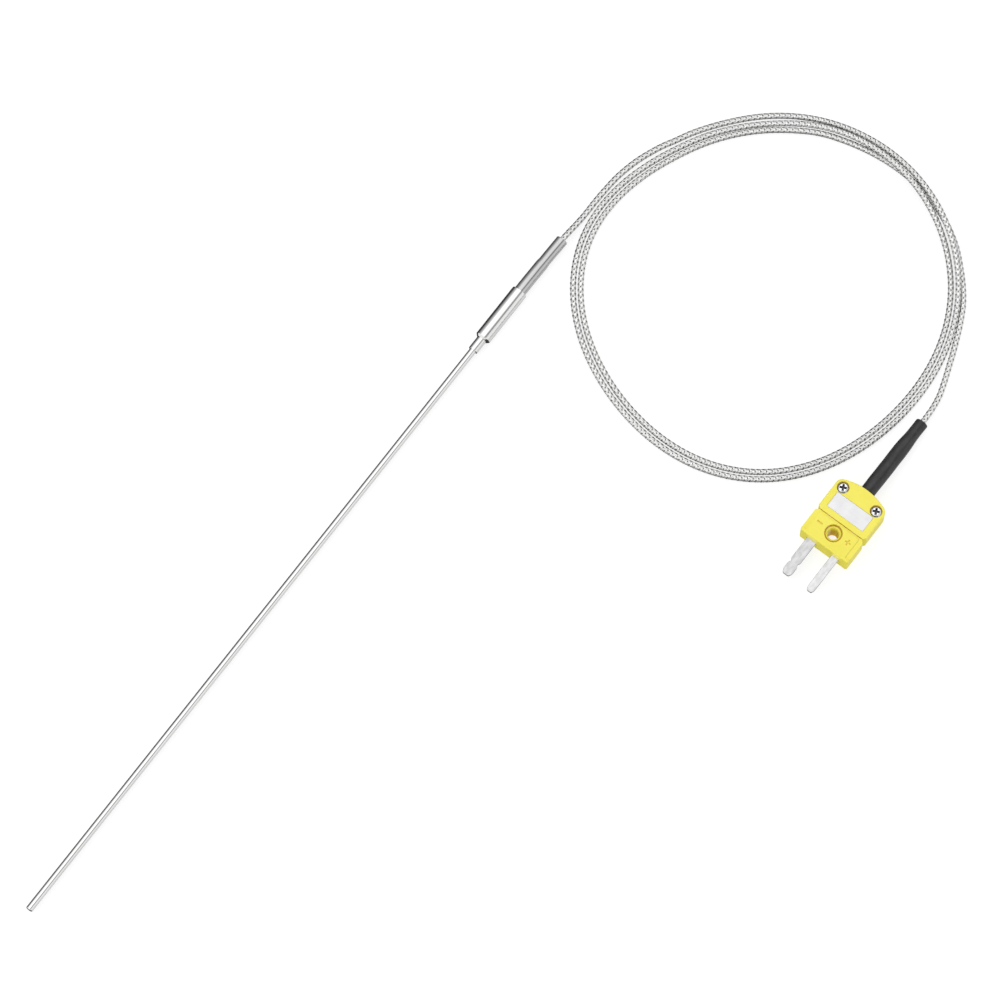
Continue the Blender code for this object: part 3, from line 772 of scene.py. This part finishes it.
def even_curve(points, spacing):
    """Points at an even spacing along a Catmull-Rom curve, as an array."""
    p = np.array(points, float)
    p = np.vstack([2 * p[0] - p[1], p, 2 * p[-1] - p[-2]])
    t = np.linspace(0, 1, CURVE_STEPS, endpoint=False)[:, None]
    fine = []
    for a, b, c, d in zip(p, p[1:], p[2:], p[3:]):
        fine.append(0.5 * (2 * b + (c - a) * t + (2 * a - 5 * b + 4 * c - d) * t ** 2
                           + (3 * b - 3 * c + d - a) * t ** 3))
    fine = np.vstack([*fine, p[-2:-1]])
    along = np.concatenate([[0], np.cumsum(np.linalg.norm(np.diff(fine, axis=0), axis=1))])
    count = round(along[-1] / spacing)
    even = np.linspace(0, along[-1], count + 1)
    return np.stack([np.interp(even, along, fine[:, k]) for k in range(3)], axis=1), along[-1]


def curve_frame(points):
    """Sideways and upward unit vectors at each point of a nearly level curve."""
    forward = np.gradient(points, axis=0)
    forward /= np.linalg.norm(forward, axis=1)[:, None]
    side = np.cross(forward, (0.0, 0.0, 1.0))
    side /= np.linalg.norm(side, axis=1)[:, None]
    return side, np.cross(side, forward)


def ring_points(points, side, up, angles, radii):
    return points + radii[:, None] * (np.cos(angles)[:, None] * side + np.sin(angles)[:, None] * up)


def make_lead(paint, core_paint):
    """The braid as crossing ribbons over a dark core, in one mesh."""
    row = BRAID_LAY / (2 * BRAID_CARRIERS)      # distance along the lead between crossings
    points, length = even_curve(lead_route(), row / 2)
    side, up = curve_frame(points)
    along = np.linspace(0, length, len(points))
    vertices, faces, uvs, kinds = [], [], [], []

    def add_strip(columns, shares, kind, closed=False):
        """Joins columns of points lengthways; shares run across the strip from 0 to 1."""
        first = sum(len(block) for block in vertices)
        n = len(points)
        vertices.extend(columns)
        pairs = list(zip(range(len(columns)), range(1, len(columns))))
        if closed:
            pairs.append((len(columns) - 1, 0))
        for a, b in pairs:
            for i in range(n - 1):
                faces.append((first + a * n + i, first + b * n + i,
                              first + b * n + i + 1, first + a * n + i + 1))
                uvs.extend([(shares[a], i), (shares[b], i), (shares[b], i + 1), (shares[a], i + 1)])
                kinds.append(kind)

    mean = LEAD_RADIUS - BRAID_WAVE - RIBBON_SUNK
    half = RIBBON_WIDTH / 2 / mean
    for way in (1, -1):
        weave = way * np.cos(math.pi * along / row)
        for carrier in range(BRAID_CARRIERS):
            middle = way * 2 * math.pi * along / BRAID_LAY + 2 * math.pi * carrier / BRAID_CARRIERS
            columns = []
            for across, drop in ((-1, RIBBON_ARCH), (0, 0.0), (1, RIBBON_ARCH)):
                radii = mean + BRAID_WAVE * weave - drop
                columns.append(ring_points(points, side, up, middle + across * half, radii))
            add_strip(columns if way > 0 else columns[::-1], (0.0, 0.5, 1.0), 0)
    everywhere = np.ones(len(points))
    core = [ring_points(points, side, up, -a * everywhere, CORE_COVER * everywhere)
            for a in np.linspace(0, 2 * math.pi, CORE_SIDES, endpoint=False)]
    add_strip(core, [0.5] * CORE_SIDES, 1, closed=True)

    mesh = bpy.data.meshes.new("braided_lead")
    mesh.from_pydata(np.vstack(vertices) * MM, [], faces)
    mesh.uv_layers.new(name="braid").data.foreach_set("uv", np.array(uvs, float).ravel())
    lead = piece_from_mesh("braided_lead", mesh, [paint, core_paint], ROOT, "steel_braid",
                           "lead_tail_probe", "lead_run_probe", "lead_coil", "lead_run_plug",
                           "lead_tail_plug", sharp=180)
    mesh.polygons.foreach_set("material_index", kinds)
    return lead, length


def declare_lead():
    route, _ = even_curve(lead_route(), CORD_SPACING)


# ---------------------------------------------------------------- probe

def span(node):
    """A turned node's ends along X, its radius, and its axis's height, in millimetres."""
    low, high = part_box(node)
    return low.x / MM, high.x / MM, (high.y - low.y) / 2 / MM, (low.z + high.z) / 2 / MM


def turned_piece(name, corners, height, paint, slot, node):
    """A turned piece of the probe from (along, radius, rounding) corners."""
    mesh = lathe_mesh(name, rounded(corners), TUBE_SIDES)
    mesh.transform(Matrix.Translation((0.0, 0.0, height * MM)))
    return piece_from_mesh(name, mesh, [paint], ROOT, slot, node)


def make_probe():
    steel = PAINTS["steel"]
    x0, x1, radius, height = span("sheath")
    bore = radius - SHEATH_WALL
    corners = [(x0, 0, 0), (x0, radius, TIP_ROUNDING), (x1, radius, 0), (x1, bore, 0),
               (x0 + TIP_THICKNESS, bore, 0.1), (x0 + TIP_THICKNESS, 0, 0)]
    turned_piece("sheath_tube", corners, height, steel, "stainless_steel", "sheath")
    sheath_radius = radius

    x0, x1, radius, height = span("neck_collar")
    bore = sheath_radius + TUBE_GAP
    corners = [(x0, bore, 0), (x0, radius, 0.2), (x1, radius, 0), (x1, bore, 0)]
    turned_piece("neck_tube", corners, height, steel, "stainless_steel", "neck_collar")
    neck_radius = radius

    x0, x1, radius, height = span("transition_pot")
    bore = neck_radius + TUBE_GAP
    corners = [(x0, bore, 0), (x0, radius - POT_CHAMFER, 0.08), (x0 + POT_CHAMFER, radius, 0.12),
               (x1, radius, 0.18), (x1, POT_BORE, 0.05), (x0 + POT_FRONT_WALL, POT_BORE, 0),
               (x0 + POT_FRONT_WALL, bore, 0)]
    turned_piece("pot_shell", corners, height, steel, "stainless_steel", "transition_pot")


def make_grey_sleeve():
    """The shrunk sleeve at the pot, which steps down slightly and bends with the lead."""
    x0, x1, radius, height = span("strain_sleeve_grey")
    bend_x = x0 + GREY_STRAIGHT
    step_start, step_end = GREY_STEP_SPAN
    corners = [(x0, SLEEVE_BORE, 0), (x0, radius, 0.1), (x1 - step_start, radius, 0.25),
               (x1 - step_end, radius - GREY_STEP, 0.25), (x1, radius - GREY_END_STEP, 0.2),
               (x1, SLEEVE_BORE, 0.1)]

    def bend(x):
        t = max(0.0, (x - bend_x) / (x1 - bend_x))
        return -GREY_BEND * t ** 1.6, 0.0

    mesh = lathe_mesh("grey_sleeve", ringed(rounded(corners), SLEEVE_RING), TUBE_SIDES, bend)
    roughen(mesh, 0.03, 350)
    mesh.transform(Matrix.Translation((0.0, 0.0, height * MM)))
    piece_from_mesh("grey_sleeve", mesh, [PAINTS["grey"]], ROOT, "grey_heatshrink",
                    "strain_sleeve_grey")


# ---------------------------------------------------------------- plug

def plug_front():
    """The middle of the plug's front face at floor level, in millimetres."""
    low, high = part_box("plug_base")
    return Vector((low.x, (low.y + high.y) / 2, 0.0)) / MM


def plug_piece(name, mesh, paint, body, slot, node, sharp=30):
    mesh.transform(Matrix.Translation(plug_front() * MM))
    piece = piece_from_mesh(name, mesh, [paint], body, slot, node, sharp=sharp)
    even_normals(piece)
    return piece


def plug_outline():
    """The shell's plan, with an arched back between round corners."""
    half = PLUG_WIDTH / 2
    arch_x = PLUG_LENGTH - BACK_RADIUS
    reach = BACK_RADIUS - CORNER_RADIUS
    corner_y = half - CORNER_RADIUS
    corner_x = arch_x + math.sqrt(reach ** 2 - corner_y ** 2)
    lean = math.degrees(math.atan2(corner_y, corner_x - arch_x))
    front = FRONT_CORNER
    outline = arc((front, -half + front), front, 180, 270, 5)
    outline += arc((corner_x, -corner_y), CORNER_RADIUS, -90, -lean, 10)
    outline += arc((arch_x, 0.0), BACK_RADIUS, -lean, lean, 28)[1:-1]
    outline += arc((corner_x, corner_y), CORNER_RADIUS, lean, 90, 10)
    outline += arc((front, half - front), front, 90, 180, 5)
    return outline


def screw_well(place):
    """A cover screw's hole, with a deep gap round the seat that its head stands on."""
    top = PLUG_HEIGHT + PAST
    seat = SCREW_SEAT - SCREW_SEAT_GAP
    gap_floor = seat - SCREW_GAP_DEPTH
    profile = [(SCREW_BORE_FLOOR, 0.0), (SCREW_BORE_FLOOR, SCREW_BORE), (seat, SCREW_BORE),
               (seat, SCREW_HEAD), (gap_floor, SCREW_HEAD + 0.02), (gap_floor, SCREW_WELL),
               (PLUG_HEIGHT - 0.12, SCREW_WELL), (PLUG_HEIGHT, SCREW_WELL_MOUTH),
               (top, SCREW_WELL_MOUTH), (top, 0.0)]
    return drill("screw_hole", place, profile)


def shell_cutters():
    """The cuts that both halves of the shell share: notches, screw holes, slots and mouth."""
    half = PLUG_WIDTH / 2
    seam_end = NOSE_LENGTH + SEAM
    cutters = []
    for side in (1, -1):
        notch = arc((NOSE_LENGTH + SEAM / 2, side * half), NOTCH_RADIUS, 0, 270, 3)
        cutters.append(solid("side_notch", notch, -PAST, PLUG_HEIGHT + PAST))
        cutters.append(screw_well((SCREW_BACK, side * SCREW_SPREAD / 2)))
    for side, width in ((1, WIDE_PIN), (-1, NARROW_PIN)):
        y = side * PIN_PITCH / 2
        reach = width / 2 + PIN_SIDE_GAP
        thick = PIN_THICKNESS / 2 + PIN_FACE_GAP
        cutters.append(block("pin_slot", (-PAST, y - reach, PIN_HEIGHT - thick),
                             (seam_end + PIN_SLOT_END, y + reach, PIN_HEIGHT + thick)))
    start, end = MOUTH_SPAN
    profile = [(start, 0), (start, MOUTH_RADIUS), (end, MOUTH_RADIUS), (end, 0)]
    mouth = lathe_mesh("cable_mouth", profile, 48)
    mouth.transform(Matrix.Translation((0, 0, PIN_HEIGHT * MM)))
    made = bpy.data.objects.new("cable_mouth", mouth)
    bpy.context.scene.collection.objects.link(made)
    return cutters + [made]


def make_shell(name, cutters, body, node):
    """One half of the shell: the whole form less the shared cuts and the half's own."""
    whole = solid(name, plug_outline(), 0.0, PLUG_HEIGHT)
    round_edges(whole, EDGE_ROUNDING, 4)
    mesh = carve(whole, shell_cutters() + cutters)
    shell = plug_piece(name, mesh, PAINTS["yellow"], body, "yellow_plastic", node)
    shell.visible_glossy = False
    return shell


def cross_outline(arm, stroke):
    """A plus-shaped outline about the origin, from its half length and half width."""
    outline = []
    for turn in range(4):
        a = turn * math.pi / 2
        for x, y in ((arm, -stroke), (arm, stroke), (stroke, stroke)):
            outline.append((x * math.cos(a) - y * math.sin(a), x * math.sin(a) + y * math.cos(a)))
    return outline


def label_outline(gap, corner):
    """The label's plan, wider all round by the gap."""
    front, back = LABEL_SPAN[0] - gap, LABEL_SPAN[1] + gap
    half = LABEL_HALF + gap
    return rounded([(front, -half, corner), (back, -half, corner), (back, half, corner),
                    (front, half, corner)], closed=True)


def make_base():
    half = PLUG_WIDTH / 2
    far = PLUG_LENGTH + PAST
    inner = half - SHELL_WALL
    room = NOSE_LENGTH + SEAM + FRONT_WALL
    channel = room + CHANNEL_MARGIN
    step = PLUG_HEIGHT - PANEL_STEP
    top = PLUG_HEIGHT + PAST
    cutters = [
        block("above", (NOSE_LENGTH, -half - PAST, SPLIT_HEIGHT - SPLIT_GAP),
              (far, half + PAST, CUT_TOP)),
        block("blade_seat", (room, -inner, SEAT_HEIGHT), (ROOM_END, inner, CUT_TOP)),
        block("core_channel", (channel, -CHANNEL_HALF, CHANNEL_FLOOR),
              (CORE_END, CHANNEL_HALF, CUT_TOP)),
    ]
    well = [(TERMINAL_WELL_FLOOR, 0.0), (TERMINAL_WELL_FLOOR, TERMINAL_WELL),
            (top, TERMINAL_WELL), (top, 0.0)]
    for side in (1, -1):
        cutters.append(drill("well", (TERMINAL_BACK, side * PIN_PITCH / 2), well))
        low, high = sorted((side * PANEL_WIDTH / 2, side * (half + 1)))
        cutters.append(block("panel_side", (PANEL_START, low, step),
                             (PANEL_CUT_END, high, CUT_TOP)))
    mark_floor = PLUG_HEIGHT - MARK_DEPTH
    plus = solid("plus_mark", cross_outline(MARK_ARM, MARK_STROKE), mark_floor, CUT_TOP)
    plus.location = Vector((MARK_BACK, -MARK_BACK, 0.0)) * MM
    cutters.append(plus)
    cutters.append(block("minus_mark", (MARK_BACK - MARK_STROKE, MARK_BACK - MARK_ARM, mark_floor),
                         (MARK_BACK + MARK_STROKE, MARK_BACK + MARK_ARM, CUT_TOP)))
    cutters.append(block("panel_back", (NOSE_LENGTH - PANEL_MARGIN, -half - 1, step),
                         (PANEL_CUT_END, half + 1, CUT_TOP)))
    cutters.append(drill("nose_hole", (HOLE_BACK, 0.0), NOSE_HOLE))
    return make_shell("base_shell", cutters, ROOT, "plug_base")


def make_cover():
    """The cover. Its second cutter starts lower, so that no two cutters share a face."""
    half = PLUG_WIDTH / 2
    inner = half - SHELL_WALL
    far = PLUG_LENGTH + PAST
    front = NOSE_LENGTH + SEAM
    cutters = [
        block("below", (-PAST, -half - PAST, -PAST), (far, half + PAST, SPLIT_HEIGHT + SPLIT_GAP)),
        block("before", (-PAST, -half - PAST, -PAST - 1),
              (front - SEAM_FILLED, half + PAST, CUT_TOP)),
        block("terminal_room", (front + FRONT_WALL, -inner, ROOM_CUT), (ROOM_END, inner, ROOF)),
        block("core_room", (CORE_ROOM_START, -CORE_ROOM_HALF, ROOM_CUT),
              (CORE_END, CORE_ROOM_HALF, ROOF)),
        solid("label_recess", label_outline(RECESS_GAP, RECESS_CORNER), PLUG_HEIGHT - RECESS_DEPTH,
              CUT_TOP),
    ]
    return make_shell("cover_shell", cutters, COVER, "plug_cover")


def make_label():
    label = solid("label", label_outline(0.0, LABEL_CORNER), PLUG_HEIGHT - LABEL_FLOOR,
                  PLUG_HEIGHT - LABEL_SUNK)
    round_edges(label, LABEL_ROUNDING, 2)
    mesh = carve(label)
    return plug_piece("label_film", mesh, PAINTS["label"], COVER, "white_label", "label_panel")


def blade_outline(width, notched):
    """A pin's plan from its rounded tip to the terminal pad, pointing to -x."""
    half = width / 2
    tip = -PIN_SHOWN
    side = [(tip, 0.0, 0), (tip, PIN_TIP_SHARE * half, 0.5), (tip + PIN_TIP_TAPER, half, 0.5)]
    if notched:
        waist = tip + PIN_WAIST_BACK
        neck = half - PIN_WAIST_CUT
        wide, narrow = PIN_WAIST_SPAN
        side += [(waist - wide, half, 0.3), (waist - narrow, neck, 0.2)]
        side += [(waist + narrow, neck, 0.2), (waist + wide, half, 0.3)]
    pad = PAD_WIDTH / 2
    side += [(PAD_START[0], half, 0), (PAD_START[1], pad, 0), (PIN_TAIL, pad, 0)]
    points = rounded(side)[1:]
    return [(x, -y) for x, y in points] + [(x, y) for x, y in reversed(points)]


def make_blades():
    made = []
    for side, width, name, slot in ((1, WIDE_PIN, "negative", "nickel_aluminium"),
                                    (-1, NARROW_PIN, "positive", "nickel_chromium")):
        low = PIN_HEIGHT - PIN_THICKNESS / 2
        blade = solid(name, blade_outline(width, side > 0), low, low + PIN_THICKNESS)
        blade.location.y = side * PIN_PITCH / 2 * MM
        round_edges(blade, PIN_ROUNDING, 3, 60)
        hole = [(0, 0.0), (0, TERMINAL_HOLE), (10, TERMINAL_HOLE), (10, 0.0)]
        mesh = carve(blade, [drill("terminal_hole", (TERMINAL_BACK, side * PIN_PITCH / 2), hole)])
        made.append(plug_piece(name + "_pin", mesh, PAINTS[slot], ROOT, slot, "blade_" + name))
    return made


def in_recess(face):
    """Whether a cover screw's face is the floor or a wall of its cross recess."""
    height = face.center.z / MM
    if abs(height - CROSS_FLOOR) < 0.001:
        return True
    within = face.center.xy.length / MM < CROSS_ARM + 0.01
    return within and 0.9 * CROSS_FLOOR < height < SCREW_TOP - 0.05 and face.normal.z < 0.99


def make_cover_screw(name, side, node):
    """A pan-head cross-recess screw, dark in the bottom of its recess."""
    profile = rounded([(SCREW_TOP, 0, 0), (1.13, 1.14, 0.2), (0.78, 1.42, 0.3),
                       (0, SCREW_HEAD, 0.1), (0, SCREW_SHANK, 0),
                       (0.4 - SCREW_LENGTH, SCREW_SHANK, 0.3), (-SCREW_LENGTH, 0.5, 0),
                       (-SCREW_LENGTH, 0, 0)])
    screw = drill(name, (0, 0), profile)
    tool = solid("recess", cross_outline(CROSS_ARM, CROSS_STROKE), CROSS_FLOOR, 1.3, CROSS_FOOT)
    tool.rotation_euler.z = CROSS_TURN
    mesh = carve(screw, [tool])
    dark = [int(in_recess(face)) for face in mesh.polygons]
    place = Vector((SCREW_BACK, side * SCREW_SPREAD / 2, SCREW_SEAT))
    mesh.transform(Matrix.Translation(place * MM))
    made = plug_piece(name, mesh, PAINTS["plated"], node, "stainless_steel", node)
    mesh.materials.append(PAINTS["recess"])
    mesh.polygons.foreach_set("material_index", dark)
    return made


def make_black_sleeve():
    """The shrunk sleeve behind the plug, thinner where it grips the lead alone."""
    end = BLACK_LENGTH
    taper_start, taper_end = BLACK_TAPER
    corners = [(0, SLEEVE_BORE, 0), (0, BLACK_THICK, 0.1), (end - taper_start, BLACK_THICK, 2.0),
               (end - taper_end, BLACK_THIN, 1.2), (end, BLACK_THIN, 0.3),
               (end, SLEEVE_BORE, 0.15)]
    mesh = lathe_mesh("black_sleeve", ringed(rounded(corners), SLEEVE_RING), TUBE_SIDES)
    roughen(mesh, 0.05, 300)
    rise = PIN_HEIGHT - (BLACK_START - BLACK_PIVOT) * math.tan(BLACK_DROOP)
    place = Matrix.Translation(Vector((BLACK_START, 0.0, rise)) * MM)
    mesh.transform(place @ Matrix.Rotation(BLACK_DROOP, 4, "Y"))
    return plug_piece("black_sleeve", mesh, PAINTS["black"], ROOT, "black_heatshrink",
                      "strain_sleeve_black")


def paint_nodes():
    """Node materials for the pieces whose CAD shape is kept."""
    kept = {
        "insulation_core": "oxide",
        "thermoelement_positive": "nickel_chromium",
        "thermoelement_negative": "nickel_aluminium",
        "hot_junction": "crimp",
        "potting_compound": "resin",
        "splice_positive": "crimp",
        "splice_negative": "crimp",
        "lead_core_probe_positive": "nickel_chromium",
        "lead_core_probe_negative": "nickel_aluminium",
        "lead_core_plug_positive": "nickel_chromium",
        "lead_core_plug_negative": "nickel_aluminium",
        "terminal_screw_negative": "plated",
        "terminal_screw_positive": "plated",
        "clamp_plate_negative": "plated",
        "clamp_plate_positive": "plated",
    }
    for node, paint in kept.items():
        for material_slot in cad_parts[node].material_slots:
            material_slot.material = PAINTS[paint]


make_camera()
make_light()
make_floor()
PAINTS = plain_paints()
PAINTS["steel"] = steel_paint()
PAINTS["braid"] = braid_paint()
lead_piece, lead_length = make_lead(PAINTS["braid"], PAINTS["core"])
make_probe()
make_grey_sleeve()
on_lead = [make_black_sleeve(), make_base(), make_cover(), make_label(), *make_blades()]
on_lead.append(make_cover_screw("left_cover_screw", 1, "cover_screw_left"))
on_lead.append(make_cover_screw("right_cover_screw", -1, "cover_screw_right"))
on_lead += ["terminal_screw_negative", "terminal_screw_positive", "clamp_plate_negative",
            "clamp_plate_positive", "lead_core_plug_negative", "lead_core_plug_positive"]
paint_nodes()
declare_lead()
